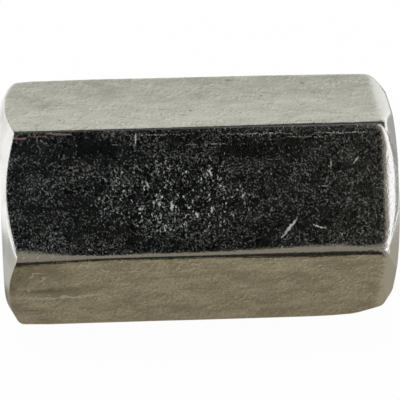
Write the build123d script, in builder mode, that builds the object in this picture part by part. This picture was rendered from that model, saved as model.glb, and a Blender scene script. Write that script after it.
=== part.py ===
from build123d import *
from math import cos, radians, sin, tan
import os

# A long hexagonal coupling nut, tapped right through to join two rods end to end.
#
# The nut is one piece of drawn hexagon bar. It lies on a flat, as it would on a bench, with
# its bore along X. The origin is on the bore's axis, midway between the two end faces, and
# +Z points out of the flat opposite the one that it lies on.
#
# The -X end is turned: a flat face, and a crisp chamfer that meets each flat in a curve. The
# +X end is worn round: each flat rolls over towards the face, and a steeper chamfer with a
# soft shoulder trims the corners.

# Hexagon bar, in millimetres
ACROSS_FLATS = 10.0
LENGTH = 18.0
CORNER_RADIUS = 0.3

# Turned end, at -X. A chamfer starts at an inset inside the flats, and its angle is measured
# from the end face.
TURNED_INSET = 0.4
TURNED_ANGLE = 30.0
TURNED_RIM_RADIUS = 0.12

# Worn end, at +X. The chamfer runs out to a soft shoulder, and a slow taper leads on from
# there to the bar's full corners.
WORN_INSET = 0.25
WORN_ANGLE = 38.0
WORN_RIM_RADIUS = 0.2
SHOULDER_DEPTH = 0.65
SHOULDER_RADIUS = 0.9
TAPER_DEPTH = 2.8
ROLL_DEPTH = 0.8
ROLL_DROP = 0.28

# Metric coarse thread, with the bore left at the size of its tap drill
THREAD_DIAMETER = 6.0
THREAD_PITCH = 1.0
COUNTERSINK_CLEARANCE = 0.25
COUNTERSINK_ANGLE = 90.0

half_length = LENGTH / 2
flat_height = ACROSS_FLATS / 2
sharp_corner = flat_height / cos(radians(30))
tap_drill_radius = (THREAD_DIAMETER - THREAD_PITCH) / 2
countersink_radius = THREAD_DIAMETER / 2 + COUNTERSINK_CLEARANCE


def lengthwise_plane(angle):
    """A plane through the bore's axis, turned about it, with its own x along the nut."""
    turn = radians(angle)
    return Plane(origin=(0, 0, 0), x_dir=(1, 0, 0), z_dir=(0, -cos(turn), sin(turn)))


def runs_lengthwise(edge):
    """True for an edge whose two ends are at different places along the nut."""
    return abs((edge @ 0).X - (edge @ 1).X) > ROLL_DEPTH / 2


with BuildPart() as nut:
    # The drawn bar
    with BuildSketch(Plane.YZ.offset(-half_length)):
        RegularPolygon(radius=flat_height, side_count=6, major_radius=False)
    extrude(amount=LENGTH)

    # Each pair of opposite flats rolls over towards the worn end
    for angle in (0, 60, 120):
        with BuildSketch(lengthwise_plane(angle)):
            with BuildLine():
                flat = Line((-half_length, flat_height), (half_length - ROLL_DEPTH, flat_height))
                worn_edge = (half_length, flat_height - ROLL_DROP)
                roll = TangentArc(flat @ 1, worn_edge, tangent=flat % 1)
                Line(roll @ 1, (half_length, 0))
                Line((-half_length, 0), flat @ 0)
                mirror(about=Plane.XZ)
            make_face()
        extrude(amount=sharp_corner, both=True, mode=Mode.INTERSECT)

    # The six long corners are drawn with a radius, which follows the roll
    fillet(nut.edges().filter_by(runs_lengthwise), CORNER_RADIUS)

    # Both ends are turned to one profile, which the whole bar is cut back to
    with BuildSketch(Plane.XZ):
        with BuildLine():
            turned_face = flat_height - TURNED_INSET
            chamfer_depth = (sharp_corner - turned_face) * tan(radians(TURNED_ANGLE))
            turned_end = FilletPolyline(
                (-half_length, 0),
                (-half_length, turned_face),
                (chamfer_depth - half_length, sharp_corner),
                radius=TURNED_RIM_RADIUS,
            )
            worn_face = flat_height - WORN_INSET
            shoulder = worn_face + SHOULDER_DEPTH / tan(radians(WORN_ANGLE))
            worn_end = FilletPolyline(
                (half_length - TAPER_DEPTH, sharp_corner),
                (half_length - SHOULDER_DEPTH, shoulder),
                (half_length, worn_face),
                (half_length, 0),
                radius=(SHOULDER_RADIUS, WORN_RIM_RADIUS),
            )
            Line(turned_end @ 1, worn_end @ 0)
            Line(worn_end @ 1, turned_end @ 0)
        make_face()
    revolve(axis=Axis.X, mode=Mode.INTERSECT)

    # The bore, countersunk from both end faces so that a rod's thread starts easily
    end_faces = nut.faces().filter_by(Axis.X).filter_by(GeomType.PLANE).sort_by(Axis.X)
    for end_face in (end_faces[0], end_faces[-1]):
        with Locations(end_face):
            CounterSinkHole(
                radius=tap_drill_radius,
                counter_sink_radius=countersink_radius,
                counter_sink_angle=COUNTERSINK_ANGLE,
            )

nut.part.label = "coupling_nut"

os.makedirs("parts", exist_ok=True)
export_step(nut.part, "parts/coupling_nut.step")
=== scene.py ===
"""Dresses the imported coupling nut: drawn flats, a turned end, a worn end and a cut thread.

The nut's skin is one closed grid. Its columns go round the bore and its rows go round the
wall's section: over an end face, along the flats, over the other face and back through the
thread. Lengths are in millimetres until a mesh is written, in metres. Angles are in degrees.
"""

import logging
import math
from dataclasses import dataclass, field
from enum import Enum, IntEnum
from functools import partial, reduce

import bpy
import numpy as np
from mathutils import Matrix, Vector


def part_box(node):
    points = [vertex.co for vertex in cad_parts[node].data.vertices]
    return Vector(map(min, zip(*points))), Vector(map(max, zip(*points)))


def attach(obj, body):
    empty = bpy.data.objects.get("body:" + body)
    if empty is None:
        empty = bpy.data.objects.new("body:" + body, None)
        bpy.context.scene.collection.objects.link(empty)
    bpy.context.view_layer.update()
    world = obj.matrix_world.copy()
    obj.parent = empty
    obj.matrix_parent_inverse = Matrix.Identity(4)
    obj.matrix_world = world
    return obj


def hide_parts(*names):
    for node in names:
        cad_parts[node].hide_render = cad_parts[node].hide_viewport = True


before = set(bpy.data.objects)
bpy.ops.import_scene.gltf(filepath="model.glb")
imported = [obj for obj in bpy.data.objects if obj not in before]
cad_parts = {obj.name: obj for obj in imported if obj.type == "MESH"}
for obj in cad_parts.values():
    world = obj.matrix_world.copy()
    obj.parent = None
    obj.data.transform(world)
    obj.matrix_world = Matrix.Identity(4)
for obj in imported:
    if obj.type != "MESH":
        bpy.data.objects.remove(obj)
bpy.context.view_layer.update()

LOG = logging.getLogger("coupling_nut")
MM = 0.001
NODE = "coupling_nut"
BODY = "root"
UV_NAME = "along_and_around"
RUBBED_NAME = "rubbed"

FLATS = 6
FLAT_ANGLE = 360.0 / FLATS
TOP = 90.0
BOTTOM = 270.0
# Half the angle of a flat about the bore, in radians.
HALF_FLAT = math.radians(FLAT_ANGLE / 2.0)
# A noise's middle, and how far it mostly strays from there.
NOISE_MIDDLE = 0.5
NOISE_REACH = 0.25

Color = tuple[float, float, float]
Triple = tuple[float, float, float]


class Zone(IntEnum):
    """The nut's finishes, in the order of its material slots."""

    DRAWN = 0
    TURNED = 1
    TAPPED = 2


class Corner(Enum):
    """The bar's long corners, by their angle about the bore, from +Y towards +Z."""

    REAR = 0
    REAR_TOP = 60
    FRONT_TOP = 120
    FRONT = 180
    FRONT_BOTTOM = 240
    REAR_BOTTOM = 300


def soft_max(a: np.ndarray, b: np.ndarray, width: np.ndarray | float) -> np.ndarray:
    """Gives the larger of two fields, rounded over where they nearly agree.

    It is the larger one, plus the square of what the width leaves of their difference, over
    four times the width.

    Args:
        a: The first field.
        b: The second field.
        width: How far apart the fields may be and still blend.

    Returns:
        The blended field.
    """
    return np.maximum(a, b) + np.maximum(width - np.abs(a - b), 0.0) ** 2 / (4.0 * width)


def blend_width(radius: np.ndarray | float, turn: float) -> np.ndarray | float:
    """Gives the soft_max width that rounds an edge to a radius.

    It is four radii times one less the cosine of half the angle that the faces turn through.

    Args:
        radius: The edge's radius.
        turn: The angle between the two faces' normals.

    Returns:
        The width for soft_max.
    """
    return 4.0 * radius * (1.0 - math.cos(math.radians(turn) / 2.0))


def eased(count: int) -> np.ndarray:
    """Gives steps from 0 up to 1, without the 1, that crowd at both ends on a cosine."""
    return 0.5 - 0.5 * np.cos(np.pi * np.arange(count) / count)


@dataclass(frozen=True)
class HexBar:
    """The drawn hexagon bar, before its ends are turned.

    A worn corner is a list of places along the bar, each with the corner's radius there.
    """

    half_length: float
    flat_height: float
    corner_radius: float = 0.3
    roll_depth: float = 0.8
    roll_drop: float = 0.28
    roll_limit: float = 0.95
    wave_height: float = 0.004
    worn_corners: dict[Corner, tuple[tuple[float, float], ...]] = field(
        default_factory=lambda: {
            Corner.FRONT: (
                (-8.7, 1.0), (-7.9, 0.95), (-6.3, 0.5), (-4.5, 0.29), (-2.2, 0.38), (0.0, 0.37),
                (2.3, 0.5), (4.5, 0.68), (6.3, 0.7), (7.7, 0.36),
            ),
            Corner.FRONT_TOP: ((-8.0, 0.24), (-3.0, 0.27), (0.5, 0.32), (5.0, 0.52), (8.0, 0.46)),
            Corner.REAR_TOP: ((-8.8, 0.8), (-7.6, 0.5), (-5.0, 0.32), (3.0, 0.36), (8.0, 0.6)),
            Corner.FRONT_BOTTOM: (
                (-8.8, 0.7), (-8.0, 0.5), (-7.0, 0.3), (6.3, 0.3), (7.8, 0.8), (8.6, 1.0),
            ),
        }
    )

    @property
    def flat_width(self) -> float:
        """Width of a flat between its sharp corners."""
        return 2.0 * self.flat_height * math.tan(HALF_FLAT)

    def drop(self, x: np.ndarray) -> np.ndarray:
        """Gives how far the flats fall away towards the worn end.

        They follow an arc tangent to the flat: its radius less the root of the radius squared
        less the distance along it squared. Points far past the end are held on the arc.

        Args:
            x: Places along the nut.

        Returns:
            The drop at each place.
        """
        radius = (self.roll_depth**2 + self.roll_drop**2) / (2.0 * self.roll_drop)
        along = np.clip(x - self.half_length + self.roll_depth, 0.0, self.roll_limit * radius)
        return radius - np.sqrt(radius**2 - along**2)

    def waves(self, x: np.ndarray, angle: np.ndarray) -> np.ndarray:
        """Gives the flats' slight hollows and swells.

        A long sine wave runs along the bar and bends round it, and the product of two short
        ones crosses it. Both are lowered so that they only take steel away.

        Args:
            x: Places along the nut.
            angle: Angles about the bore.

        Returns:
            The height at each point, never above 0.
        """
        around = np.radians(angle)
        long_wave = np.sin(0.7 * x + 2.0 * np.sin(3.0 * around + 0.4))
        short_wave = np.sin(1.9 * x + 5.0 * around) * np.sin(11.0 * around + 0.3 * x)
        return self.wave_height * (long_wave - 1.0 + 0.6 * (short_wave - 1.0)) / 2.0

    def radius_of_corners(self, x: np.ndarray, angle: np.ndarray) -> np.ndarray:
        """Gives the radius of the corner that is nearest to each point.

        A worn corner's radius runs straight between its chosen places along the bar.

        Args:
            x: Places along the nut.
            angle: Angles about the bore.

        Returns:
            The corner radius at each point.
        """
        nearest = np.round(angle / FLAT_ANGLE) * FLAT_ANGLE % 360.0
        radii = np.full(np.broadcast(x, angle).shape, self.corner_radius)
        for corner, wear in self.worn_corners.items():
            places, sizes = zip(*wear)
            radii = np.where(nearest == corner.value, np.interp(x, places, sizes), radii)
        return radii

    def outside(self, x: np.ndarray, r: np.ndarray, angle: np.ndarray) -> np.ndarray:
        """Gives the distance outside the bar's sides, negative inside.

        It is the largest height above the six flats, blended with the next largest so that
        each corner has its radius.

        Args:
            x: Places along the nut.
            r: Distances from the bore's axis.
            angle: Angles about the bore.

        Returns:
            The distance at each point.
        """
        middles = FLAT_ANGLE * (np.arange(FLATS) + 0.5)
        off_centre = np.radians(angle[..., None] - middles)
        heights = np.sort(r[..., None] * np.cos(off_centre), axis=-1)
        width = blend_width(self.radius_of_corners(x, angle), FLAT_ANGLE)
        side = soft_max(heights[..., -1], heights[..., -2], width)
        return side - self.flat_height + self.drop(x) - self.waves(x, angle)


def round_the_bore(angle: np.ndarray, base: float, wear: dict[Corner, float]) -> np.ndarray:
    """Gives a size that is the base on the flats and runs straight to a worn corner's own.

    Args:
        angle: Angles about the bore.
        base: The size on the flats and on corners with no wear.
        wear: The size at each worn corner.

    Returns:
        The size at each angle.
    """
    places = np.arange(0.0, 360.0, FLAT_ANGLE / 2.0)
    sizes = [base] * len(places)
    for corner, size in wear.items():
        sizes[round(corner.value / places[1])] = size
    return np.interp(angle, places, sizes, period=360.0)


@dataclass(frozen=True)
class TurnedEnd:
    """The end at -X: a flat face and a crisp chamfer. The chamfer's angle is from the face."""

    half_length: float
    flat_height: float
    inset: float = 0.4
    angle: float = 30.0
    rim_radius: float = 0.12
    edge_radius: float = 0.05
    worn_insets: dict[Corner, float] = field(
        default_factory=lambda: {Corner.REAR_TOP: 0.24, Corner.FRONT_BOTTOM: 0.39}
    )
    worn_rims: dict[Corner, float] = field(
        default_factory=lambda: {Corner.REAR_TOP: 0.7, Corner.FRONT_BOTTOM: 1.4}
    )
    worn_edges: dict[Corner, float] = field(
        default_factory=lambda: {Corner.REAR_TOP: 0.6, Corner.FRONT: 0.2, Corner.FRONT_BOTTOM: 0.3}
    )
    bare_share: dict[Corner, float] = field(
        default_factory=lambda: {Corner.REAR_TOP: 0.3, Corner.FRONT_BOTTOM: 0.2}
    )

    def face_radius(self, angle: np.ndarray) -> np.ndarray:
        """Distance from the bore's axis to the chamfer, which was cut unevenly."""
        return self.flat_height - round_the_bore(angle, self.inset, self.worn_insets)

    def outside(self, x: np.ndarray, r: np.ndarray, angle: np.ndarray, bar: np.ndarray) -> np.ndarray:
        """Cuts the bar's field back to the chamfer's cone and the end face's plane.

        Args:
            x: Places along the nut.
            r: Distances from the bore's axis.
            angle: Angles about the bore.
            bar: The bar's field at the same points.

        Returns:
            The distance outside the bar with its end turned.
        """
        turn = math.radians(self.angle)
        back = -x - self.half_length
        cone = back * math.cos(turn) + (r - self.face_radius(angle)) * math.sin(turn)
        rim = round_the_bore(angle, self.rim_radius, self.worn_rims)
        edge = round_the_bore(angle, self.edge_radius, self.worn_edges)
        end = soft_max(cone, back, blend_width(rim, self.angle))
        return soft_max(bar, end, blend_width(edge, 90.0 - self.angle))

    def edge_depth(self, bar_radius: np.ndarray, angle: np.ndarray) -> np.ndarray:
        """Depth behind the face at which the chamfer's bare steel ends.

        It is where the chamfer runs out on the bar's sides, or a share of that where the
        sides' finish rolls over a worn corner.

        Args:
            bar_radius: The bar's radius next to the end, at each angle.
            angle: Angles about the bore.

        Returns:
            The depth at each angle.
        """
        depth = (bar_radius - self.face_radius(angle)) * math.tan(math.radians(self.angle))
        return depth * round_the_bore(angle, 1.0, self.bare_share)


@dataclass(frozen=True)
class Knock:
    """A corner that use has flattened, by a plane through a point on the corner's line."""

    corner: Corner
    x: float
    r: float
    tilt: float
    radius: float

    def outside(self, x: np.ndarray, r: np.ndarray, angle: np.ndarray) -> np.ndarray:
        """Gives the distance outside the plane.

        The plane leans by its tilt from along the bar towards the end face.

        Args:
            x: Places along the nut.
            r: Distances from the bore's axis.
            angle: Angles about the bore.

        Returns:
            The distance at each point, negative inside.
        """
        tilt = math.radians(self.tilt)
        reach = r * np.cos(np.radians(angle - self.corner.value)) - self.r
        return (x - self.x) * math.sin(tilt) + reach * math.cos(tilt)


@dataclass(frozen=True)
class WornEnd:
    """The end at +X: a chamfer with a soft shoulder, and a slow taper up to it."""

    half_length: float
    flat_height: float
    inset: float = 0.22
    angle: float = 35.0
    rim_radius: float = 0.2
    shoulder_depth: float = 0.6
    shoulder_radius: float = 0.75
    taper_depth: float = 3.0
    edge_radius: float = 0.3
    edge_turn: float = 45.0
    off_centre: float = 0.05
    off_towards: float = 110.0
    knocks: tuple[Knock, ...] = (Knock(Corner.FRONT_BOTTOM, 6.95, 5.735, 14.5, 0.5),)

    @property
    def face_radius(self) -> float:
        """Radius at which the end face starts to round over into the rim."""
        return self.flat_height - self.inset - self.rim_radius / 2.0

    def outside(self, x: np.ndarray, r: np.ndarray, angle: np.ndarray, bar: np.ndarray) -> np.ndarray:
        """Cuts the bar's field back to the taper, the chamfer and the end face.

        Taper and chamfer are cones that meet at the shoulder, and all three are blended. The
        cones' axis is a little off the bore's.

        Args:
            x: Places along the nut.
            r: Distances from the bore's axis.
            angle: Angles about the bore.
            bar: The bar's field at the same points.

        Returns:
            The distance outside the bar with its end turned.
        """
        for knock in self.knocks:
            bar = soft_max(bar, knock.outside(x, r, angle), blend_width(knock.radius, knock.tilt))
        r = r - self.off_centre * np.cos(np.radians(angle - self.off_towards))
        sharp_corner = self.flat_height / math.cos(HALF_FLAT)
        steep = math.radians(self.angle)
        shoulder = self.flat_height - self.inset + self.shoulder_depth / math.tan(steep)
        slow = math.atan2(sharp_corner - shoulder, self.taper_depth - self.shoulder_depth)
        ahead = x - self.half_length
        out = ahead + self.shoulder_depth
        chamfer = out * math.cos(steep) + (r - shoulder) * math.sin(steep)
        taper = out * math.sin(slow) + (r - shoulder) * math.cos(slow)
        shoulder_turn = 90.0 - self.angle - math.degrees(slow)
        end = soft_max(chamfer, taper, blend_width(self.shoulder_radius, shoulder_turn))
        end = soft_max(end, ahead, blend_width(self.rim_radius, self.angle))
        return soft_max(bar, end, blend_width(self.edge_radius, self.edge_turn))


@dataclass(frozen=True)
class Thread:
    """A right-hand metric internal thread, with a countersink at each end face."""

    half_length: float
    diameter: float = 6.0
    pitch: float = 1.0
    flank_angle: float = 30.0
    countersink_clearance: float = 0.25
    countersink_angle: float = 90.0

    @property
    def mouth_radius(self) -> float:
        """Radius of the countersinks at the end faces."""
        return self.diameter / 2.0 + self.countersink_clearance

    def wall_radius(self, x: np.ndarray, angle: np.ndarray) -> np.ndarray:
        """Gives the radius of the bore's wall.

        Across a pitch, the groove has a flat root an eighth of the pitch wide and straight
        flanks down to the tap drill's radius. The countersinks are cones, and the wall is
        whichever of groove and cone reaches further out.

        Args:
            x: Places along the nut.
            angle: Angles about the bore.

        Returns:
            The wall's distance from the axis.
        """
        turns = x / self.pitch - angle / 360.0
        off_root = np.abs(turns - np.round(turns)) * self.pitch
        root = self.diameter / 2.0
        flank = (off_root - self.pitch / 16.0) / math.tan(math.radians(self.flank_angle))
        groove = np.clip(root - flank, root - self.pitch / 2.0, root)
        slope = math.tan(math.radians(self.countersink_angle / 2.0))
        countersink = self.mouth_radius - (self.half_length - np.abs(x)) / slope
        return np.maximum(groove, countersink)


@dataclass(frozen=True)
class Strip:
    """Rows of the skin's grid that share a finish. Each array is rows by columns."""

    x: np.ndarray
    r: np.ndarray
    zone: Zone


def quad_corners(values: np.ndarray) -> np.ndarray:
    """Gives each quad's four corner values on a grid that is closed both ways.

    Args:
        values: One value for each vertex, rows by columns.

    Returns:
        Rows by columns by four, in the quads' winding order.
    """
    beside = np.roll(values, -1, axis=1)
    return np.stack([values, beside, np.roll(beside, -1, axis=0), np.roll(values, -1, axis=0)], -1)


def along_the_skin(x: np.ndarray, r: np.ndarray) -> np.ndarray:
    """Gives the length along the skin from the bar's middle, so that it is x on the flats.

    Args:
        x: The rows' places along the nut.
        r: Their distances from the bore's axis.

    Returns:
        The length at each vertex, in millimetres.
    """
    steps = np.hypot(np.diff(x, axis=0), np.diff(r, axis=0))
    length = np.vstack([np.zeros((1, x.shape[1])), np.cumsum(steps, axis=0)])
    middle = np.argmax(x > 0.0, axis=0)[None, :]
    return length - np.take_along_axis(length - x, middle, axis=0)


@dataclass(frozen=True)
class CouplingNut:
    """The whole nut as one closed skin.

    The outside is found on rays that leave a ring inside the wall: towards the face at each
    end, and straight out between them.
    """

    half_length: float
    flat_height: float
    ring_radius: float = 3.7
    ring_depth: float = 1.6
    columns_per_flat: int = 32
    rows_on_face: int = 3
    rows_on_rim: int = 5
    rows_on_chamfer: int = 9
    rows_past_chamfer: int = 12
    rows_on_flats: int = 62
    rows_on_worn_end: int = 30
    thread_rows_per_pitch: int = 14
    solver_steps: int = 14
    first_reach: float = 2.0
    nudge: float = 1e-5
    least_slope: float = 0.05
    sharp_angle: float = 38.0
    rubbed_past: float = 1.3
    rim_fade: float = 0.7

    @property
    def bar(self) -> HexBar:
        """The drawn bar that the nut is cut from."""
        return HexBar(self.half_length, self.flat_height)

    @property
    def turned_end(self) -> TurnedEnd:
        """The crisp end."""
        return TurnedEnd(self.half_length, self.flat_height)

    @property
    def worn_end(self) -> WornEnd:
        """The soft end."""
        return WornEnd(self.half_length, self.flat_height)

    @property
    def thread(self) -> Thread:
        """The bore's thread."""
        return Thread(self.half_length)

    def rubbed(self, x: np.ndarray, angles: np.ndarray) -> np.ndarray:
        """Gives how far handling has rubbed the skin smooth, from 0 on the flats to 1.

        It falls from 1 at a corner to 0 a little past the corner's radius, and it rises to 1
        where the flats start to roll over at the worn end.

        Args:
            x: Places along the nut, rows by columns.
            angles: The columns' angles.

        Returns:
            The wear at each point.
        """
        flats = self.around(angles[0])[:-1] / self.bar.flat_width
        off_corner = (0.5 - np.abs(flats - np.round(flats))) * self.bar.flat_width
        reach = self.bar.radius_of_corners(x, angles) * math.tan(HALF_FLAT)
        corner = np.clip(self.rubbed_past - off_corner / reach, 0.0, 1.0)
        rolled = np.clip((x - self.half_length + self.bar.roll_depth) / self.rim_fade + 0.5, 0.0, 1.0)
        return np.maximum(corner, rolled)

    def column_angles(self) -> np.ndarray:
        """Gives each column's angle about the bore, from the middle of the bottom flat.

        Across a flat the columns stand at the sines of even steps, so they crowd at the
        corners.

        Returns:
            The angles, rising through one turn.
        """
        steps = np.arange(self.columns_per_flat) * 2.0 / self.columns_per_flat - 1.0
        across = np.sin(np.pi / 2.0 * steps) * math.tan(HALF_FLAT)
        sector = np.degrees(np.arctan(across))
        angles = (BOTTOM + FLAT_ANGLE * np.arange(FLATS)[:, None] + sector).ravel()
        half = self.columns_per_flat // 2
        return np.concatenate([angles[half:], angles[:half] + 360.0])

    def outside(self, x: np.ndarray, r: np.ndarray, angle: np.ndarray) -> np.ndarray:
        """Gives the distance outside the nut's outer faces, negative inside."""
        bar = self.bar.outside(x, r, angle)
        return self.worn_end.outside(x, r, angle, self.turned_end.outside(x, r, angle, bar))

    def cast(
        self, start_x: np.ndarray, tilt: np.ndarray, angle: np.ndarray, bar_only: bool = False
    ) -> tuple[np.ndarray, np.ndarray]:
        """Finds where rays from the ring inside the wall come out.

        Each step moves along the ray by the field over its slope, which is Newton's method.

        Args:
            start_x: Where along the nut each ray starts.
            tilt: Each ray's angle from straight out, positive towards +X.
            angle: Each ray's angle about the bore.
            bar_only: True to leave the ends uncut.

        Returns:
            Places along the nut, and distances from the axis.
        """
        field_of = self.bar.outside if bar_only else self.outside
        lean, rise = np.sin(np.radians(tilt)), np.cos(np.radians(tilt))
        start_x, lean, rise, angle = np.broadcast_arrays(start_x, lean, rise, angle)
        reach = np.full(angle.shape, self.first_reach)
        for _ in range(self.solver_steps):
            here = field_of(start_x + reach * lean, self.ring_radius + reach * rise, angle)
            ahead = reach + self.nudge
            there = field_of(start_x + ahead * lean, self.ring_radius + ahead * rise, angle)
            reach = reach - here / np.maximum((there - here) / self.nudge, self.least_slope)
        return start_x + reach * lean, self.ring_radius + reach * rise

    def turned_strips(self, angles: np.ndarray) -> list[Strip]:
        """Makes the rows over the turned end, which crowd at its rim and its curved edge.

        Args:
            angles: The columns' angles.

        Returns:
            The face, the chamfer and the stretch of the flats next to it.
        """
        start_x = -self.half_length + self.ring_depth
        _, bar_radius = self.cast(np.full(1, start_x), np.zeros(1), angles, bar_only=True)
        edge_depth = self.turned_end.edge_depth(bar_radius, angles)
        rim_rise = self.turned_end.face_radius(angles) - self.ring_radius
        rim_tilt = -90.0 + np.degrees(np.arctan2(rim_rise, self.ring_depth))
        edge_rise = bar_radius - self.ring_radius
        edge_tilt = -90.0 + np.degrees(np.arctan2(edge_rise, self.ring_depth - edge_depth))

        face = -90.0 + (rim_tilt + 90.0) * eased(self.rows_on_rim)[:, None]
        chamfer = rim_tilt + (edge_tilt - rim_tilt) * eased(self.rows_on_chamfer)[:, None]
        past = edge_tilt * (1.0 - eased(self.rows_past_chamfer)[:, None])
        turned = self.cast(start_x, np.vstack([face, chamfer]), angles)
        drawn = self.cast(start_x, past, angles)
        return [Strip(*turned, Zone.TURNED), Strip(*drawn, Zone.DRAWN)]

    def face_strip(self, angles: np.ndarray, side: int) -> Strip:
        """Makes the rows of the end face on a side, -1 or 1, inside the ring.

        They run outwards from the countersink at -X, and inwards to it at +X.

        Args:
            angles: The columns' angles.
            side: Which end it is.

        Returns:
            The face's strip.
        """
        ends = (self.thread.mouth_radius, self.ring_radius)[::-side]
        steps = np.linspace(*ends, self.rows_on_face, endpoint=False)
        r = steps[:, None] + 0.0 * angles
        return Strip(np.full_like(r, side * self.half_length), r, Zone.TURNED)

    def strips(self, angles: np.ndarray) -> list[Strip]:
        """Makes the grid's rows, from the turned end's countersink round to the same place.

        Args:
            angles: The columns' angles.

        Returns:
            The strips in order, which close the skin.
        """
        along = np.linspace(
            self.ring_depth - self.half_length,
            self.half_length - self.ring_depth,
            self.rows_on_flats,
            endpoint=False,
        )
        flats = self.cast(along[:, None], np.zeros((1, 1)), angles)
        rim = math.degrees(math.atan2(self.ring_depth, self.worn_end.face_radius - self.ring_radius))
        over = np.linspace(0.0, rim, self.rows_on_worn_end, endpoint=False)
        inward = np.linspace(rim, 90.0, self.rows_on_face, endpoint=False)
        start_x = self.half_length - self.ring_depth
        worn = self.cast(start_x, over[:, None], angles)
        face = self.cast(start_x, inward[:, None], angles)
        bore_rows = round(2.0 * self.half_length / self.thread.pitch * self.thread_rows_per_pitch)
        bore_x = np.linspace(self.half_length, -self.half_length, bore_rows, endpoint=False)
        bore_x = bore_x[:, None] + 0.0 * angles
        bore_r = self.thread.wall_radius(bore_x, angles[None, :])
        return [
            self.face_strip(angles, -1),
            *self.turned_strips(angles),
            Strip(*flats, Zone.DRAWN),
            Strip(*worn, Zone.DRAWN),
            Strip(*face, Zone.TURNED),
            self.face_strip(angles, 1),
            Strip(bore_x, bore_r, Zone.TAPPED),
        ]

    def build(self, materials: list[bpy.types.Material]) -> bpy.types.Object:
        """Makes the nut's object from its strips.

        A vertex stands at x, r cos a, r sin a. The UV map holds the length along the skin and
        the distance round the hexagon, in millimetres. The rubbed attribute is 1 on the long
        corners and the worn rim, and 0 on the flats.

        Args:
            materials: One material for each zone, in the zones' order.

        Returns:
            The nut, which stands for the CAD node.
        """
        angles = self.column_angles()
        strips = self.strips(angles)
        x = np.vstack([strip.x for strip in strips])
        r = np.vstack([strip.r for strip in strips])
        zones = np.concatenate([np.full(len(strip.x), int(strip.zone)) for strip in strips])
        rows, columns = x.shape
        turn = np.radians(angles)
        points = np.stack([x, r * np.cos(turn), r * np.sin(turn)], axis=-1) * MM

        corners = quad_corners(np.arange(rows * columns).reshape(rows, columns)).reshape(-1, 4)
        mesh = bpy.data.meshes.new(NODE + "_skin")
        mesh.from_pydata(points.reshape(-1, 3), [], corners)
        mesh.polygons.foreach_set("material_index", np.repeat(zones, columns).astype(np.int32))
        mesh.polygons.foreach_set("use_smooth", np.ones(rows * columns, bool))
        around = self.around(angles)
        sides = np.stack([around[:-1], around[1:], around[1:], around[:-1]], -1)
        along = quad_corners(along_the_skin(x, r))
        uv = np.stack([along, np.broadcast_to(sides, along.shape)], -1)
        mesh.uv_layers.new(name=UV_NAME).data.foreach_set("uv", uv.ravel())
        rubbed = mesh.attributes.new(RUBBED_NAME, "FLOAT", "POINT")
        rubbed.data.foreach_set("value", self.rubbed(x, angles[None, :]).ravel())
        for material in materials:
            mesh.materials.append(material)
        mesh.validate()
        mesh.set_sharp_from_angle(angle=math.radians(self.sharp_angle))
        return in_scene(NODE + "_skin", mesh)

    def around(self, angles: np.ndarray) -> np.ndarray:
        """Gives each column's distance round the hexagon, with the seam's second value.

        It counts whole flats from the middle of the top one, less the flat's height times
        the tangent of the angle off its middle, so it rises down the front.

        Args:
            angles: The columns' angles.

        Returns:
            One distance more than there are columns.
        """
        turned = np.append(angles, angles[0] + 360.0) - (TOP + 360.0)
        flat = np.round(turned / FLAT_ANGLE)
        off_middle = np.radians(turned - FLAT_ANGLE * flat)
        return flat * self.bar.flat_width + self.flat_height * np.tan(off_middle)


Socket = bpy.types.NodeSocket

# Where a value starts and stops to count, and then what it becomes at each, if not 0 and 1.
Ramp = tuple[float, ...]


@dataclass(frozen=True)
class Mark:
    """A mark on the skin: an ellipse, by its middle on the UV map, its size and its turn."""

    along: float
    around: float
    length: float
    width: float
    turn: float = 0.0


@dataclass(frozen=True)
class Marks:
    """Marks of one kind, and the ramp from 0 at a mark's edge to 1 in its middle."""

    ramp: Ramp
    marks: tuple[Mark, ...]


@dataclass(frozen=True)
class Grain:
    """A noise, by its waves to a millimetre along the bar and around it."""

    along: float
    around: float
    detail: float = 2.0
    roughness: float = 0.5
    turn: float = 0.0
    shift: tuple[float, float] = (0.0, 0.0)
    ramp: Ramp | None = None


@dataclass(frozen=True)
class Flecks:
    """Scattered flecks that all lean one way, by their cells to a millimetre each way.

    The share is that of the cells that hold a fleck.
    """

    along: float
    around: float
    lean: float
    share: float
    edge: Ramp = (0.45, 0.12)
    picked_over: float = 0.06
    power: float = 1.8


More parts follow.
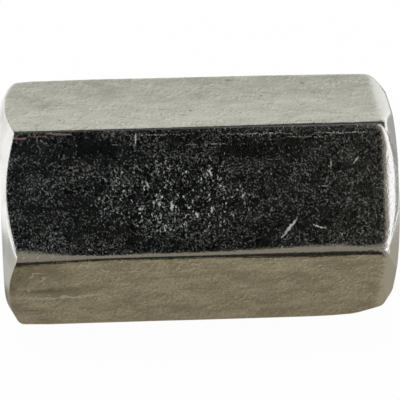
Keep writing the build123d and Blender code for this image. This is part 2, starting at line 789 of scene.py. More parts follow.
class Shader:
    """A node tree under construction, with one short call for each kind of node."""

    def __init__(self, owner: bpy.types.Material | bpy.types.World) -> None:
        """Starts on an empty tree.

        Args:
            owner: The material or the world that the tree belongs to.
        """
        owner.use_nodes = True
        self.owner = owner
        self.tree = owner.node_tree
        self.tree.nodes.clear()

    def add(
        self, kind: str, inputs: dict[int | str, object] | None = None, **settings: object
    ) -> bpy.types.Node:
        """Adds a node.

        Args:
            kind: The node's type, without its first word.
            inputs: Each input's value, or the socket that it is linked to.
            settings: The node's properties.

        Returns:
            The node.
        """
        node = self.tree.nodes.new("ShaderNode" + kind)
        for name, value in settings.items():
            setattr(node, name, value)
        for key, value in (inputs or {}).items():
            self.feed(node.inputs[key], value)
        return node

    def feed(self, socket: Socket, value: object) -> None:
        """Links a socket, or sets its value.

        Args:
            socket: The input.
            value: Another socket or a plain value. None leaves the input as it is.
        """
        if isinstance(value, bpy.types.NodeSocket):
            self.tree.links.new(value, socket)
        elif value is not None:
            socket.default_value = value

    def math(self, operation: str, *values: object) -> Socket:
        """Adds a Math node."""
        return self.add("Math", dict(enumerate(values)), operation=operation).outputs[0]

    def total(self, *values: object) -> Socket:
        """Adds several values up."""
        return reduce(partial(self.math, "ADD"), values)

    def times(self, *values: object) -> Socket:
        """Multiplies several values."""
        return reduce(partial(self.math, "MULTIPLY"), values)

    def most(self, *values: Socket) -> Socket:
        """Gives the largest of several values."""
        return reduce(partial(self.math, "MAXIMUM"), values)

    def spread(
        self, value: object, low: float, high: float, to_low: float = 0.0, to_high: float = 1.0
    ) -> Socket:
        """Carries a range of a value smoothly onto another range, held at its ends."""
        inputs = dict(enumerate((value, low, high, to_low, to_high)))
        return self.add("MapRange", inputs, interpolation_type="SMOOTHSTEP").outputs[0]

    def between(self, value: Socket, rise: Ramp, fall: Ramp) -> Socket:
        """Gives 1 on a stretch of a value and 0 outside it, with a smooth step at each end."""
        return self.times(self.spread(value, *rise), self.spread(value, *fall))

    def mixed(self, share: object, a: object, b: object) -> Socket:
        """Mixes two colours."""
        a, b = [(*color, 1.0) if isinstance(color, tuple) else color for color in (a, b)]
        return self.add("Mix", {0: share, 6: a, 7: b}, data_type="RGBA").outputs[2]

    def uv(self) -> Socket:
        """The piece's own map, which on the nut is along and around in millimetres."""
        return self.add("UVMap", uv_map=UV_NAME).outputs["UV"]

    def place(self) -> Socket:
        """The place in the nut's own frame, in metres."""
        return self.add("TexCoord").outputs["Object"]

    def attribute(self, name: str) -> Socket:
        """A mesh attribute's value."""
        return self.add("Attribute", attribute_name=name).outputs["Fac"]

    def apart(self, vector: Socket) -> tuple[Socket, ...]:
        """Gives a vector's three components."""
        return tuple(self.add("SeparateXYZ", {0: vector}).outputs)

    def off_axis(self, place: Socket) -> Socket:
        """Gives the distance from the bore's axis: the root of Y squared plus Z squared."""
        _, y, z = self.apart(place)
        return self.math("SQRT", self.total(self.times(y, y), self.times(z, z)))

    def seen(self) -> Socket:
        """Gives 1 on camera, glossy and transmission rays."""
        rays = self.add("LightPath").outputs
        return self.most(*[rays[f"Is {ray} Ray"] for ray in ("Camera", "Glossy", "Transmission")])

    def mapped(
        self, vector: Socket, scale: Triple, turn: float = 0.0, shift: Triple = (0.0, 0.0, 0.0)
    ) -> Socket:
        """Turns a pattern about Z, then stretches and shifts it.

        Args:
            vector: The coordinates.
            scale: How many pattern units a coordinate unit takes on each axis.
            turn: The angle about Z.
            shift: Added after the stretch.

        Returns:
            The pattern's coordinates.
        """
        turned = {"Vector": vector, "Rotation": (0.0, 0.0, math.radians(turn))}
        turned = self.add("Mapping", turned, vector_type="POINT").outputs[0]
        stretched = {"Vector": turned, "Scale": scale, "Location": shift}
        return self.add("Mapping", stretched, vector_type="POINT").outputs[0]

    def noise(self, vector: Socket, detail: float = 2.0, roughness: float = 0.5) -> Socket:
        """Adds a Noise texture on coordinates that are already scaled."""
        inputs = {"Vector": vector, "Scale": 1.0, "Detail": detail, "Roughness": roughness}
        return self.add("TexNoise", inputs, noise_dimensions="3D").outputs["Fac"]

    def grain(self, place: Socket, grain: Grain) -> Socket:
        """Adds a grain's noise.

        Args:
            place: The skin's own coordinates.
            grain: How the noise is.

        Returns:
            The noise, carried through the grain's ramp where it has one.
        """
        scale = (grain.along, grain.around, 1.0)
        pattern = self.mapped(place, scale, grain.turn, (*grain.shift, 0.0))
        noise = self.noise(pattern, grain.detail, grain.roughness)
        return self.spread(noise, *grain.ramp) if grain.ramp else noise

    def ragged(self, vector: Socket, fineness: float, reach: float) -> Socket:
        """Shifts coordinates about by a noise, so that marks on them get ragged edges.

        Args:
            vector: The coordinates.
            fineness: How many waves the noise has to a coordinate unit.
            reach: The largest shift, about, in coordinate units.

        Returns:
            The shifted coordinates.
        """
        noise = self.add("TexNoise", {"Vector": vector, "Scale": fineness}, noise_dimensions="3D")
        middle = {0: noise.outputs["Color"], 1: (NOISE_MIDDLE,) * 3}
        centred = self.add("VectorMath", middle, operation="SUBTRACT").outputs[0]
        shifts = {0: centred, 1: (reach / NOISE_REACH,) * 3, 2: vector}
        return self.add("VectorMath", shifts, operation="MULTIPLY_ADD").outputs[0]

    def cells(self, vector: Socket) -> tuple[Socket, Socket, Socket]:
        """Adds a Voronoi texture.

        Args:
            vector: Coordinates that are already scaled.

        Returns:
            The distance from a cell's middle, and two random numbers per cell.
        """
        inputs = {"Vector": vector, "Scale": 1.0}
        node = self.add("TexVoronoi", inputs, feature="F1", voronoi_dimensions="3D")
        random = self.add("SeparateColor", {0: node.outputs["Color"]}).outputs
        return node.outputs["Distance"], random[0], random[1]

    def flecks(self, place: Socket, flecks: Flecks) -> Socket:
        """Makes scattered flecks.

        They are the middles of stretched Voronoi cells, picked by each cell's first random
        number and dimmed by its second. Each lean shifts the pattern to cells of its own.

        Args:
            place: The skin's own coordinates.
            flecks: Their fineness, lean and share.

        Returns:
            Up to 1 in a fleck and 0 elsewhere.
        """
        scale = (flecks.along, flecks.around, 1.0)
        pattern = self.mapped(place, scale, flecks.lean, (flecks.lean, 3.0, 0.0))
        distance, pick, strength = self.cells(pattern)
        core = self.spread(distance, *flecks.edge)
        chosen = self.spread(pick, 1.0 - flecks.share, 1.0 - flecks.share + flecks.picked_over)
        return self.times(core, chosen, self.math("POWER", strength, flecks.power))

    def spot(self, vector: Socket, mark: Mark) -> Socket:
        """Makes one mark.

        Args:
            vector: The skin's own coordinates.
            mark: The mark's place, size and turn.

        Returns:
            1 in the middle of the mark, falling straight to 0 at its edge.
        """
        inputs = {
            "Vector": vector,
            "Location": (mark.along, mark.around, 0.0),
            "Rotation": (0.0, 0.0, math.radians(mark.turn)),
            "Scale": (mark.length / 2.0, mark.width / 2.0, 1.0),
        }
        from_middle = self.add("Mapping", inputs, vector_type="TEXTURE").outputs[0]
        ball = self.add("TexGradient", {"Vector": from_middle}, gradient_type="SPHERICAL")
        return ball.outputs["Fac"]

    def marks(self, vector: Socket, kind: Marks) -> Socket:
        """Gives the strongest of a kind's marks at each point, through the kind's ramp."""
        return self.spread(self.most(*[self.spot(vector, mark) for mark in kind.marks]), *kind.ramp)

    def bump(self, height: Socket, depth: float, under: Socket | None = None) -> Socket:
        """Adds relief of a depth in millimetres, over relief that is already there."""
        inputs = {"Strength": 1.0, "Distance": depth * MM, "Height": height, "Normal": under}
        return self.add("Bump", inputs).outputs[0]

    def end(self, surface: bpy.types.Node, target: str = "OutputMaterial") -> None:
        """Ends the tree in a surface, on the output node of a material or a world."""
        self.tree.links.new(surface.outputs[0], self.add(target).inputs[0])

    def metal(self, color: object, roughness: object, normal: object) -> bpy.types.Material:
        """Ends the tree in a metal.

        Args:
            color: The tone of its reflections.
            roughness: How dull it is.
            normal: Its relief.

        Returns:
            The material.
        """
        inputs = {"Metallic": 1.0, "Base Color": color, "Roughness": roughness, "Normal": normal}
        self.end(self.add("BsdfPrincipled", inputs))
        return self.owner


@dataclass(frozen=True)
class DrawnSteel:
    """The flats: drawn bright steel, streaked along the bar, scuffed, dented and stained, with painted
    light and shade in its tone.

    Its coordinates are the skin's own: along the bar from its middle, and down round the
    hexagon from the middle of the top flat. Fields that end in below are for the lower flat.
    """

    name: str = "drawn_flats"
    tone: Color = (0.93, 0.92, 0.84)
    shaded_tone: Color = (0.49, 0.48, 0.42)
    grime_tone: Color = (0.26, 0.265, 0.22)
    rust_tone: Color = (0.60, 0.30, 0.27)
    dull_tone: Color = (0.50, 0.56, 0.57)
    scuffed_tone: Color = (0.95, 0.99, 0.99)
    pale_tone: Color = (1.0, 0.97, 0.87)
    rubbed_tone: Color = (0.96, 0.955, 0.94)
    smooth: float = 0.075
    rubbed: float = 0.12
    scuffed: float = 0.66
    front_flat: tuple[Ramp, Ramp] = ((2.8, 2.9), (8.7, 8.6))
    lower_flat: tuple[Ramp, Ramp] = ((8.6, 9.0), (14.6, 14.2))

    fray: Grain = Grain(2.2, 4.4, 4.0, 0.65, shift=(5.0, 5.0))
    fray_reach: float = 1.4
    frayed: Ramp = (0.05, 0.95)
    rubbed_bright: Ramp = (0.3, 1.0)
    scuffs_on_rubbed: float = 0.55

    streaks: Grain = Grain(0.3, 9.0, 4.0, 0.6)
    streak_relief: float = 0.0012
    dent_waves: Grain = Grain(4.4, 2.6, 4.0, 0.65, turn=12.0)
    dent_pits: Grain = Grain(4.6, 2.6, 3.0, 0.6, turn=-14.0, shift=(3.0, 8.0), ramp=(0.66, 0.50))
    pit_share: float = 0.6
    dent_relief: float = 0.007
    relief_on_flats: float = 0.25
    scuff_relief: float = 0.001

    # Painted light and shade: the dents' tone is lit from one side, and these set its strength.
    light_shift: Triple = (0.025, 0.07, 0.0)
    dent_light_patches: Grain = Grain(0.8, 1.4, 3.0, 0.6, shift=(3.0, 6.0), ramp=(0.44, 0.64, 0.2, 1.3))
    dent_light_below: float = 1.5
    clouds: Grain = Grain(0.62, 0.95, 6.0, 0.68, turn=5.0, shift=(4.0, 9.0))
    drawn: Grain = Grain(0.35, 7.0, 3.0, 0.6, turn=0.5, shift=(2.0, 2.0))
    drawn_share: float = 0.2
    mottle: Grain = Grain(8.0, 5.5, 2.0, 0.6, shift=(6.0, 1.0))
    mottle_share: float = 0.6
    clouds_middle: float = 0.9
    clouds_strength: float = 1.7
    clouds_below: float = 2.5
    level: float = 0.28
    # Painted light: the tone rises from the top flat's rear edge towards the front. Painted shade: the
    # lower flat is darker.
    towards_front: Ramp = (-2.6, 2.8, 0.0, 0.45)
    darker_below: float = 0.38

    crumbling: tuple[float, float] = (3.0, 0.2)
    specks: Flecks = Flecks(6.4, 3.6, 10.0, 0.25)
    pits: Flecks = Flecks(5.0, 3.0, -8.0, 0.25)
    speck_strength: float = 0.9
    pit_strength: float = 0.8
    stains_in_dents: Ramp = (0.6, 1.1, 1.1, 0.6)
    rust_raggedness: tuple[float, float] = (3.0, 0.03)

    scuff_raggedness: tuple[float, float] = (7.0, 0.05)
    patches: Grain = Grain(0.5, 0.9, shift=(2.0, 5.0), ramp=(0.35, 0.65, 0.7, 1.0))
    grit_cells: Triple = (21.0, 18.0, 1.0)
    grit_turn: float = 31.0
    grit_power: float = 2.6
    grit_strength: float = 0.38
    haze: Grain = Grain(13.0, 12.0, 2.0, 0.6, turn=20.0)
    haze_everywhere: Ramp = (0.40, 0.72, 0.0, 0.22)
    haze_on_edge: Ramp = (0.40, 0.60, 0.05, 1.0)
    dabs: Grain = Grain(3.6, 4.6, 3.0, shift=(9.0, 1.0), ramp=(0.48, 0.78, 0.0, 0.20))
    dots: Flecks = Flecks(14.0, 11.0, 24.0, 0.34)
    strokes: tuple[Flecks, ...] = (
        Flecks(13.0, 5.0, 8.0, 0.30),
        Flecks(13.0, 5.0, -16.0, 0.30),
        Flecks(13.0, 5.0, 36.0, 0.30),
    )
    fine_lines: Grain = Grain(0.4, 20.0, shift=(6.0, 2.0), ramp=(0.62, 0.78, 0.0, 0.3))
    breaks: Grain = Grain(4.0, 1.0, 2.0, 0.7, shift=(1.0, 7.0))
    line_breaks: Ramp = (0.42, 0.58)
    scratch_breaks: Ramp = (0.3, 0.5, 0.6, 1.0)
    scuffs_off_front: float = 0.2
    cool_scuffs: Ramp = (0.0, 0.3)
    white_scuffs: Ramp = (0.15, 0.75)

    cluster: Marks = Marks((0.0, 0.5, 0.4, 2.6), (Mark(-1.3, 5.95, 9.0, 4.4),))
    scratches: Marks = Marks(
        (0.0, 0.5),
        (
            Mark(3.93, 7.52, 1.55, 0.15, -50.0),
            Mark(5.29, 7.50, 0.90, 0.08, 18.0),
            Mark(-2.88, 3.30, 0.66, 0.11, 92.0),
            Mark(-2.40, 5.41, 0.50, 0.13, 70.0),
            Mark(-1.88, 6.30, 0.34, 0.12, 105.0),
            Mark(-1.35, 6.43, 0.50, 0.13, 95.0),
            Mark(0.45, 4.95, 0.44, 0.12, 66.0),
            Mark(0.45, 6.59, 0.36, 0.12, 95.0),
            Mark(-0.22, 6.80, 0.36, 0.12, 66.0),
            Mark(1.88, 6.02, 0.34, 0.07, 115.0),
            Mark(7.05, 4.52, 0.48, 0.08, -55.0),
            Mark(5.90, 4.70, 0.60, 0.06, 88.0),
            Mark(-6.30, 10.88, 0.65, 0.10, 55.0),
            Mark(5.37, 9.95, 0.30, 0.16, 30.0),
            Mark(-0.30, 1.00, 0.30, 0.16, 80.0),
            Mark(-0.60, 1.50, 0.35, 0.14, 0.0),
        ),
    )
    lines: Marks = Marks(
        (0.0, 0.4, 0.0, 0.6),
        (
            Mark(0.40, 3.64, 3.0, 0.07),
            Mark(-3.40, 3.58, 2.6, 0.07, 2.0),
            Mark(5.55, 5.67, 0.8, 0.08),
            Mark(-2.60, 6.35, 0.9, 0.06),
            Mark(-6.60, 11.86, 5.0, 0.34, -3.0),
        ),
    )
    edge_lines: Marks = Marks(
        (0.0, 0.6, 0.0, 0.7),
        (
            Mark(-1.80, 3.16, 4.2, 0.07, 0.4),
            Mark(2.60, 3.22, 5.2, 0.10, 0.6),
            Mark(6.40, 3.27, 4.0, 0.11, 0.8),
            Mark(4.90, 3.42, 3.0, 0.06, 1.0),
        ),
    )
    quiet: Marks = Marks(
        (0.0, 1.0, 1.0, 0.72),
        (
            Mark(-6.30, 6.32, 6.6, 0.40, 0.5),
            Mark(-1.60, 5.72, 5.0, 0.50, 1.5),
            Mark(-5.20, 3.70, 9.0, 1.40),
            Mark(2.60, 3.80, 8.0, 0.90, -4.0),
            Mark(2.40, 8.30, 9.0, 1.00),
        ),
    )
    pale: Marks = Marks(
        (0.0, 0.5),
        (
            Mark(-6.30, 11.93, 7.4, 0.20, -2.0),
            Mark(-5.60, 10.86, 0.60, 0.10, -48.0),
            Mark(-7.10, 10.30, 0.90, 0.10, -30.0),
            Mark(-7.60, 9.90, 0.80, 0.09, -26.0),
            Mark(-4.40, 9.75, 0.50, 0.10, 20.0),
            Mark(-3.10, 9.80, 0.60, 0.12, -60.0),
            Mark(3.40, 9.60, 0.30, 0.14, 20.0),
            Mark(1.60, 9.90, 0.50, 0.10, 10.0),
        ),
    )
    nicks: Marks = Marks(
        (0.05, 0.9, 0.0, 0.8),
        (
            Mark(-6.80, 0.10, 3.2, 0.10, 1.0),
            Mark(6.16, 10.13, 0.50, 0.22, 20.0),
            Mark(3.06, -0.40, 0.28, 0.30, 60.0),
            Mark(1.67, -2.30, 0.50, 0.36),
            Mark(5.11, -1.74, 0.40, 0.40, 45.0),
            Mark(1.26, 1.61, 0.32, 0.12, -20.0),
            Mark(4.19, 2.00, 0.36, 0.12, 20.0),
            Mark(-6.90, 11.35, 5.0, 0.44, -3.0),
            Mark(-7.80, 13.05, 1.6, 0.12),
        ),
    )
    stains: Marks = Marks(
        (0.0, 0.9, 0.0, 0.8),
        (
            Mark(-8.40, 9.70, 6.4, 4.4, 20.0),
            Mark(-5.80, 5.65, 6.0, 0.7),
            Mark(-8.70, 10.60, 1.0, 6.0),
            Mark(-6.90, 11.30, 7.0, 0.9, -3.0),
        ),
    )
    rust: Marks = Marks(
        (0.0, 0.5),
        (
            Mark(-8.10, 3.17, 0.8, 0.08, 5.0),
            Mark(-7.20, 3.12, 1.0, 0.04, 3.0),
            Mark(-6.30, 3.02, 1.5, 0.08, 4.0),
        ),
    )

    def scuffs(self, shader: Shader, place: Socket, facing: Socket) -> Socket:
        """Makes the scuffs as one mask.

        Grit and haze, soft dabs, flecks and broken lines lie in patches on the front flat,
        and thinly on the others. They crowd in one cluster and are dimmed on quiet bands.
        Over them are the lines along the flat's top edge and the single scratches.

        Args:
            shader: The material under construction.
            place: The skin's own coordinates.
            facing: 1 on the front flat.

        Returns:
            0 on clean steel and up to 1 where it is scratched dull.
        """
        ragged = shader.ragged(place, *self.scuff_raggedness)
        haze = shader.grain(place, self.haze)
        breaks = shader.grain(place, self.breaks)
        _, cell, _ = shader.cells(shader.mapped(ragged, self.grit_cells, self.grit_turn))
        grit = shader.times(self.grit_strength, shader.math("POWER", cell, self.grit_power))
        lines = shader.most(shader.marks(place, self.lines), shader.grain(place, self.fine_lines))
        strokes = shader.most(*[shader.flecks(ragged, flecks) for flecks in self.strokes])
        even = shader.most(
            shader.total(grit, shader.spread(haze, *self.haze_everywhere)),
            shader.grain(place, self.dabs),
            shader.flecks(ragged, self.dots),
            shader.times(lines, shader.spread(breaks, *self.line_breaks)),
            shader.times(strokes, shader.marks(place, self.cluster)),
        )
        density = shader.times(
            shader.grain(place, self.patches),
            shader.spread(facing, 0.0, 1.0, self.scuffs_off_front, 1.0),
        )
        return shader.most(
            shader.times(even, density, shader.marks(ragged, self.quiet)),
            shader.times(
                shader.marks(ragged, self.edge_lines), shader.spread(haze, *self.haze_on_edge)
            ),
            shader.times(
                shader.marks(ragged, self.scratches), shader.spread(breaks, *self.scratch_breaks)
            ),
        )

    def dents(self, shader: Shader, place: Socket, shift: Triple = (0.0, 0.0, 0.0)) -> Socket:
        """Makes the shallow dents: soft waves with small deeper pits in them.

        Args:
            shader: The material under construction.
            place: The skin's own coordinates.
            shift: How far the pattern is moved, in millimetres.

        Returns:
            The height, from 0 to about 1.
        """
        moved = shader.mapped(place, (1.0, 1.0, 1.0), 0.0, shift)
        waves = shader.grain(moved, self.dent_waves)
        pits = shader.grain(moved, self.dent_pits)
        return shader.math("MULTIPLY_ADD", pits, self.pit_share, waves)

    def shade(self, shader: Shader, place: Socket, crumbled: Socket, dents: Socket) -> Socket:
        """Makes the light and dark of the bare steel, much of it painted light and shade.

        Dents get painted light and shade, as if lit from one side: their height a little way off,
        less their height. Clouds, drawn streaks and mottle are added, and a painted rise in light
        from the top flat to the front one. The lower flat gets painted shade, and pits are darker.

        Args:
            shader: The material under construction.
            place: The skin's own coordinates.
            crumbled: The same with ragged edges.
            dents: The dents' height.

        Returns:
            0 in the shaded tone and 1 in the bright one.
        """
        _, around, _ = shader.apart(place)
        below = shader.between(around, *self.lower_flat)
        # Painted light and shade on the dents, as if lit from one side.
        lit_side = shader.times(
            shader.math("SUBTRACT", self.dents(shader, place, self.light_shift), dents),
            shader.grain(place, self.dent_light_patches),
            shader.spread(below, 0.0, 1.0, 1.0, self.dent_light_below),
        )
        clouds = shader.total(
            shader.grain(place, self.clouds),
            shader.times(shader.grain(place, self.drawn), self.drawn_share),
            shader.times(shader.grain(place, self.mottle), self.mottle_share),
            -self.clouds_middle,
        )
        strength = shader.spread(below, 0.0, 1.0, self.clouds_strength, self.clouds_below)
        return shader.total(
            lit_side,
            shader.times(clouds, strength),
            self.level,
            # Painted light rising towards the front, and painted shade on the lower flat.
            shader.spread(around, *self.towards_front),
            shader.times(below, -self.darker_below),
            shader.times(shader.flecks(crumbled, self.pits), -self.pit_strength),
        )

    def material(self) -> bpy.types.Material:
        """Builds the material: tones laid over the steel's painted light and shade, roughness and
        relief.

        Returns:
            The material of the flats and of the worn end.
        """
        shader = Shader(bpy.data.materials.new(self.name))
        place = shader.uv()
        fray = shader.math("SUBTRACT", shader.grain(place, self.fray), NOISE_MIDDLE)
        rubbed = shader.math("MULTIPLY_ADD", fray, self.fray_reach, shader.attribute(RUBBED_NAME))
        rubbed = shader.spread(rubbed, *self.frayed)
        facing = shader.between(shader.apart(place)[1], *self.front_flat)
        scuffs = shader.times(
            self.scuffs(shader, place, facing),
            shader.spread(rubbed, 0.0, 1.0, 1.0, self.scuffs_on_rubbed),
        )
        dents = self.dents(shader, place)
        crumbled = shader.ragged(place, *self.crumbling)
        stains = shader.times(
            shader.marks(place, self.stains), shader.spread(dents, *self.stains_in_dents)
        )
        pale = shader.most(shader.flecks(crumbled, self.specks), shader.marks(crumbled, self.pale))
        whiteness = shader.spread(scuffs, *self.white_scuffs)
        rust = shader.marks(shader.ragged(place, *self.rust_raggedness), self.rust)
        layers = (
            (shader.most(shader.marks(place, self.nicks), stains), self.grime_tone),
            (shader.times(pale, self.speck_strength), self.pale_tone),
            (
                shader.times(facing, shader.spread(scuffs, *self.cool_scuffs)),
                shader.mixed(whiteness, self.dull_tone, self.scuffed_tone),
            ),
            (shader.spread(rubbed, *self.rubbed_bright), self.rubbed_tone),
            (rust, self.rust_tone),
        )
        # Painted light and shade: dents lit from one side, a rise towards the front and a darker lower
        # flat.
        shade = self.shade(shader, place, crumbled, dents)
        tone = shader.mixed(shade, self.shaded_tone, self.tone)
        for share, color in layers:
            tone = shader.mixed(share, tone, color)

        under = shader.spread(rubbed, 0.0, 1.0, self.smooth, self.rubbed)
        roughness = shader.math("MULTIPLY_ADD", shader.most(scuffs, rust), self.scuffed, under)
        relief = shader.bump(shader.grain(place, self.streaks), self.streak_relief)
        deep = shader.spread(rubbed, 0.0, 1.0, self.relief_on_flats, 1.0)
        relief = shader.bump(shader.times(dents, deep), self.dent_relief, relief)
        relief = shader.bump(shader.math("SUBTRACT", 1.0, scuffs), self.scuff_relief, relief)
        return shader.metal(tone, roughness, relief)


@dataclass(frozen=True)
class TurnedSteel:
    """The end faces and chamfers: bright, with fine rings left by the tool."""

    name: str = "turned_ends"
    tone: Color = (0.92, 0.915, 0.89)
    stained_tone: Color = (0.8, 0.79, 0.75)
    stains_per_mm: float = 0.9
    stained: Ramp = (0.4, 0.7)
    rings_per_mm: float = 16.0
    waver_per_mm: float = 0.15
    ring_relief: float = 0.0015
    roughness: Ramp = (0.3, 0.7, 0.2, 0.32)

    def material(self) -> bpy.types.Material:
        """Builds the material. The rings follow the distance from the bore's axis.

        Returns:
            The material of the end faces and of the crisp chamfer.
        """
        shader = Shader(bpy.data.materials.new(self.name))
        place = shader.place()
        _, y, z = shader.apart(place)
        across = self.rings_per_mm / MM
        waver = self.waver_per_mm / MM
        ring_place = {
            "X": shader.times(shader.off_axis(place), across),
            "Y": shader.times(y, waver),
            "Z": shader.times(z, waver),
        }
        ring_place = shader.add("CombineXYZ", ring_place).outputs[0]
        rings = shader.noise(ring_place, detail=3.0, roughness=0.6)
        stains = shader.mapped(place, (self.stains_per_mm / MM,) * 3)
        stains = shader.noise(stains, detail=3.0)
        tone = shader.mixed(shader.spread(stains, *self.stained), self.tone, self.stained_tone)
        roughness = shader.spread(rings, *self.roughness)
        return shader.metal(tone, roughness, shader.bump(rings, self.ring_relief))


@dataclass(frozen=True)
class TappedSteel:
    """The thread: cut steel, lighter at the crests and darker towards the roots."""

    name: str = "tapped_thread"
    tone: Color = (0.66, 0.64, 0.59)
    root_tone: Color = (0.30, 0.28, 0.24)
    crest_to_root: tuple[float, float] = (2.55, 2.95)
    grime_per_mm: float = 1.6
    grain_per_mm: Triple = (9.0, 2.0, 2.0)
    grain_relief: float = 0.004
    roughness: Ramp = (0.3, 0.7, 0.28, 0.48)

    def material(self) -> bpy.types.Material:
        """Builds the material. The tone follows the distance from the bore's axis.

        Returns:
            The material of the thread and its countersinks.
        """
        shader = Shader(bpy.data.materials.new(self.name))
        place = shader.place()
        crest, root = self.crest_to_root
        depth = shader.spread(shader.off_axis(place), crest * MM, root * MM)
        tone = shader.mixed(depth, self.tone, self.root_tone)
        grime = shader.mapped(place, (self.grime_per_mm / MM,) * 3)
        grime = shader.noise(grime, detail=4.0)
        grain = shader.mapped(place, tuple(waves / MM for waves in self.grain_per_mm))
        relief = shader.bump(shader.noise(grain, detail=3.0), self.grain_relief)
        return shader.metal(tone, shader.spread(grime, *self.roughness), relief)


@dataclass(frozen=True)
class Card:
    """A studio card that only the metal's reflections see: a painted reflection that glows.

    It is a patch of a sphere about the nut. The side angle goes from the middle towards +X,
    and the sweep goes from the front horizon over the top to the rear horizon. Its light may
    change along the sweep, or along the side angle when it fades sideways.
    """

    name: str
    side: tuple[float, float]
    sweep: tuple[float, float]
    light: Color
    light_after: Color | None = None
    fades_sideways: bool = False
    radius: float = 400.0
    steps: int = 24

    def points(self) -> np.ndarray:
        """Gives the card's grid.

        A point is at sin s, -cos s cos w, cos s sin w, times the radius, for a side angle s
        and a sweep w.

        Returns:
            The points, in millimetres.
        """
        side = np.radians(np.linspace(*self.side, self.steps))[:, None]
        sweep = np.radians(np.linspace(*self.sweep, self.steps))[None, :]
        x = np.sin(side) + 0.0 * sweep
        points = np.stack([x, -np.cos(side) * np.cos(sweep), np.cos(side) * np.sin(sweep)], -1)
        if self.fades_sideways:
            points = points.transpose(1, 0, 2)[::-1]
        return points * self.radius


@dataclass(frozen=True)
class FloorCard:
    """A card that lies just above the floor beside the nut and only shows in its reflections: a painted
    reflection of a darker floor.

    Its light may change from the front edge to the rear one.
    """

    name: str
    x: tuple[float, float]
    y: tuple[float, float]
    light: Color
    light_after: Color | None = None
    height: float = 0.02

    def points(self, floor_z: float) -> np.ndarray:
        """Gives the card's corners over a floor, in millimetres."""
        return flat_grid(self.x, self.y, floor_z + self.height)


def flat_grid(x: tuple[float, ...], y: tuple[float, ...], z: float) -> np.ndarray:
    """Gives a level grid of points, with rows along X and columns along Y."""
    x_grid, y_grid = np.meshgrid(x, y, indexing="ij")
    return np.stack([x_grid, y_grid, np.full_like(x_grid, z)], -1)


def in_scene(name: str, data: bpy.types.ID) -> bpy.types.Object:
    """Puts some data into the scene as an object.

    Args:
        name: The object's name.
        data: A mesh, a light or a camera.

    Returns:
        The object.
    """
    thing = bpy.data.objects.new(name, data)
    bpy.context.scene.collection.objects.link(thing)
    return thing


def sheet(name: str, points: np.ndarray, material: bpy.types.Material) -> bpy.types.Object:
    """Makes an open sheet of quads, which belongs to the stage.

    Args:
        name: The sheet's name.
        points: Its grid, rows by columns by three, in millimetres.
        material: Its material. The UV map runs from 0 to 1 each way.

    Returns:
        The sheet's object.
    """
    rows, columns = points.shape[:2]
    first = (np.arange(rows - 1)[:, None] * columns + np.arange(columns - 1)[None, :]).ravel()
    quads = np.stack([first, first + 1, first + columns + 1, first + columns], axis=-1)
    mesh = bpy.data.meshes.new(name)
    mesh.from_pydata(points.reshape(-1, 3) * MM, [], quads)
    shares = [np.linspace(0, 1, count) for count in (rows, columns)]
    share = np.stack(np.meshgrid(*shares, indexing="ij"), -1).reshape(-1, 2)
    mesh.uv_layers.new(name=UV_NAME).data.foreach_set("uv", share[quads.ravel()].ravel())
    mesh.materials.append(material)
    thing = in_scene(name, mesh)
    return thing


def stage_card(card: Card | FloorCard, points: np.ndarray) -> None:
    """Makes a card, a painted reflection, which gives light of its own and is seen by glossy rays
    alone.

    Args:
        card: The card's name and light, which changes across the grid's columns.
        points: Its grid, in millimetres.
    """
    shader = Shader(bpy.data.materials.new(card.name))
    _, across, _ = shader.apart(shader.uv())
    glow = shader.mixed(across, card.light, card.light_after or card.light)
    shader.end(shader.add("Emission", {"Color": glow}))
    piece = sheet(card.name, points, shader.owner)
    for ray in ("camera", "diffuse", "transmission", "volume_scatter", "shadow"):
        setattr(piece, "visible_" + ray, False)


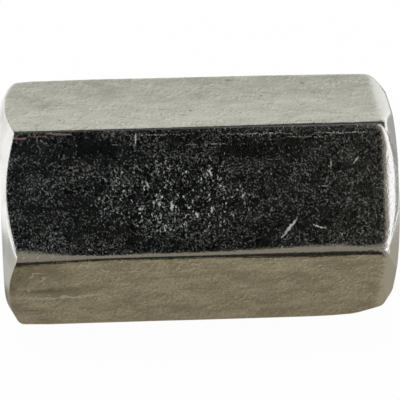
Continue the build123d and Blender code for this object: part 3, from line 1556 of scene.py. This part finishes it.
@dataclass(frozen=True)
class Studio:
    """The pale floor, the soft light, the cards and the camera.

    The cards are painted reflections that the nut mirrors: dark in front and overhead, and pale beside
    and behind.
    """

    floor_z: float
    floor_half_width: float = 900.0
    floor_tone: Color = (0.86, 0.86, 0.85)
    floor_glow: float = 0.97
    sky_level: float = 0.8
    lamp_width: float = 0.35
    lamp_power: float = 0.35
    lamp_place: Triple = (-80.0, 60.0, 400.0)
    lamp_turn: Triple = (-9.0, -11.0, 0.0)
    camera_azimuth: float = -3.35
    camera_elevation: float = 26.75
    camera_distance: float = 112.0
    half_view: float = 4.8
    sensor_width: float = 36.0
    nearest_seen: float = 5.0
    aim_right: float = 0.213
    aim_up: float = -0.095
    cards: tuple[Card, ...] = (
        Card("card_front", (-16.0, 13.0), (19.0, 78.0), (0.0006, 0.0012, 0.0014)),
        Card("card_front_low", (-34.0, 13.0), (-4.0, 19.0), (0.20, 0.18, 0.145)),
        Card("card_overhead", (-32.0, 20.0), (78.0, 90.0), (0.012, 0.012, 0.011)),
        Card("card_overhead_middle", (-32.0, 20.0), (90.0, 108.0), (0.11, 0.11, 0.103)),
        Card(
            "card_overhead_rear", (-32.0, 20.0), (108.0, 138.0),
            (0.03, 0.03, 0.028), (0.05, 0.05, 0.046),
        ),
        Card("card_overhead_right", (20.0, 56.0), (95.0, 138.0), (0.05, 0.05, 0.048)),
        Card("card_backdrop", (-38.0, 8.5), (138.0, 176.0), (0.42, 0.42, 0.39), (0.80, 0.80, 0.76)),
        Card(
            "card_backdrop_turn", (8.5, 36.0), (138.0, 182.0),
            (0.58, 0.58, 0.55), (0.92, 0.93, 0.91), fades_sideways=True,
        ),
        Card("card_front_edge", (13.0, 33.0), (-4.0, 78.0), (0.23, 0.205, 0.17)),
        Card("card_right", (63.0, 89.0), (-4.0, 184.0), (0.28, 0.28, 0.265)),
        Card("card_rear_right", (34.0, 63.0), (168.0, 184.0), (0.36, 0.36, 0.34)),
    )
    floor_cards: tuple[FloorCard, ...] = (
        FloorCard("card_floor_far", (-90.0, 110.0), (-420.0, -90.0), (0.20, 0.18, 0.145)),
        FloorCard("card_floor_front", (-26.0, 40.0), (-90.0, -30.0), (0.20, 0.18, 0.145)),
        FloorCard("card_floor_middle", (-14.0, 22.0), (-30.0, -13.0), (0.20, 0.18, 0.145)),
        FloorCard("card_floor_before_left", (-11.3, -5.4), (-13.0, -9.4), (0.20, 0.18, 0.145)),
        # Painted shadow: dark strips of the nut's shadow on the floor, as the lower corner mirrors
        # them.
        FloorCard("card_floor_shade_left", (-11.3, -5.4), (-9.4, -6.2), (0.02, 0.019, 0.016)),
        FloorCard("card_floor_shade", (-5.4, 9.4), (-13.0, -6.2), (0.02, 0.019, 0.016)),
        FloorCard("card_floor_before_right", (9.4, 13.5), (-13.0, -7.0), (0.25, 0.23, 0.19)),
        # Painted shadow: the floor in the nut's shade in front of it and under it, as the lower flat
        # mirrors it.
        FloorCard(
            "painted_shadow_near", (-11.3, 9.4), (-6.2, -0.5),
            (0.315, 0.272, 0.197), (0.232, 0.205, 0.146),
        ),
        FloorCard("painted_shadow_under", (-11.3, 9.4), (-0.5, 3.4), (0.17, 0.155, 0.125)),
        FloorCard("card_floor_rear", (-11.3, 9.4), (3.4, 12.0), (0.26, 0.25, 0.22), (0.55, 0.55, 0.53)),
        FloorCard("card_floor_left", (-16.5, -11.3), (-12.0, 8.0), (0.50, 0.495, 0.46)),
        FloorCard("card_floor_left_middle", (-22.0, -16.5), (-12.0, 8.0), (0.36, 0.36, 0.345)),
        FloorCard("card_floor_right", (9.4, 12.0), (-7.0, 14.0), (0.29, 0.265, 0.205)),
        FloorCard("card_floor_right_middle", (12.0, 20.0), (-7.0, 14.0), (0.34, 0.32, 0.27)),
        FloorCard("card_floor_right_far", (20.0, 60.0), (-7.0, 14.0), (0.44, 0.43, 0.40)),
        FloorCard("card_floor_left_far", (-62.0, -24.0), (42.0, 66.0), (0.58, 0.58, 0.57)),
        FloorCard("card_floor_behind", (12.0, 420.0), (14.0, 420.0), (0.36, 0.36, 0.34)),
    )

    def build_floor(self) -> None:
        """Lays the floor. Where it is seen it is nearly white, and it keeps a soft shadow."""
        shader = Shader(bpy.data.materials.new("pale_floor"))
        paint = shader.add("BsdfDiffuse", {"Color": (*self.floor_tone, 1.0)})
        white = shader.add("Emission")
        glow = shader.times(shader.seen(), self.floor_glow)
        shader.end(shader.add("MixShader", {0: glow, 1: paint.outputs[0], 2: white.outputs[0]}))
        sides = (-self.floor_half_width, self.floor_half_width)
        sheet("floor", flat_grid(sides, sides, self.floor_z), shader.owner)

    def build_sky(self) -> None:
        """Sets a white world, a little lower where it lights than where it is seen."""
        shader = Shader(bpy.data.worlds.new("studio"))
        level = shader.math("MULTIPLY_ADD", shader.seen(), 1.0 - self.sky_level, self.sky_level)
        sky = shader.add("Background", {"Strength": level, "Color": (1.0, 1.0, 1.0, 1.0)})
        shader.end(sky, "OutputWorld")
        bpy.context.scene.world = shader.owner

    def build_lamp(self) -> None:
        """Hangs one large soft lamp above the nut. It doesn't show in the metal."""
        data = bpy.data.lights.new("soft_lamp", "AREA")
        data.shape = "DISK"
        data.size = self.lamp_width
        data.energy = self.lamp_power
        lamp = in_scene("soft_lamp", data)
        lamp.location = np.array(self.lamp_place) * MM
        lamp.rotation_euler = np.radians(self.lamp_turn)
        lamp.visible_glossy = False

    def build_camera(self) -> None:
        """Sets up the camera, which looks slightly past the nut's middle.

        It stands off by sin a cos e, -cos a cos e, sin e, times its distance, for an azimuth
        a and an elevation e.
        """
        azimuth, elevation = math.radians(self.camera_azimuth), math.radians(self.camera_elevation)
        right = np.array([math.cos(azimuth), math.sin(azimuth), 0.0])
        back = np.array([math.sin(azimuth), -math.cos(azimuth), math.tan(elevation)])
        back = back * math.cos(elevation)
        place = back * self.camera_distance
        look = right * self.aim_right + np.cross(back, right) * self.aim_up - place
        look = look / np.linalg.norm(look)
        side = np.cross(look, (0.0, 0.0, 1.0))
        side = side / np.linalg.norm(side)
        data = bpy.data.cameras.new("camera")
        data.sensor_width = self.sensor_width
        data.lens = self.sensor_width / (2.0 * math.tan(math.radians(self.half_view)))
        data.clip_start = self.nearest_seen * MM
        camera = in_scene("camera", data)
        # Blender reads each row of the array as a column of its matrix.
        axes = np.eye(4)
        axes[:, :3] = side, np.cross(side, look), -look, place * MM
        camera.matrix_world = axes
        bpy.context.scene.camera = camera

    def build(self) -> None:
        """Builds the whole studio and sets the plain view transform."""
        self.build_camera()
        self.build_floor()
        self.build_sky()
        self.build_lamp()
        for card in self.cards:
            stage_card(card, card.points())
        for card in self.floor_cards:
            stage_card(card, card.points(self.floor_z))
        bpy.context.scene.view_settings.view_transform = "Standard"


def main() -> None:
    """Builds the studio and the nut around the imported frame."""
    logging.basicConfig(level=logging.INFO, format="%(name)s: %(message)s")
    low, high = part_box(NODE)
    half_length = (high.x - low.x) / 2.0 / MM
    flat_height = (high.z - low.z) / 2.0 / MM

    Studio(floor_z=low.z / MM).build()
    LOG.info("studio: floor, lamp, cards and camera")

    finishes = {Zone.DRAWN: DrawnSteel(), Zone.TURNED: TurnedSteel(), Zone.TAPPED: TappedSteel()}
    materials = [finishes[zone].material() for zone in Zone]
    nut = CouplingNut(half_length, flat_height).build(materials)
    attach(nut, BODY)
    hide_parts(NODE)
    LOG.info("%s: %d faces", nut.name, len(nut.data.polygons))


if __name__ == "__main__":
    main()
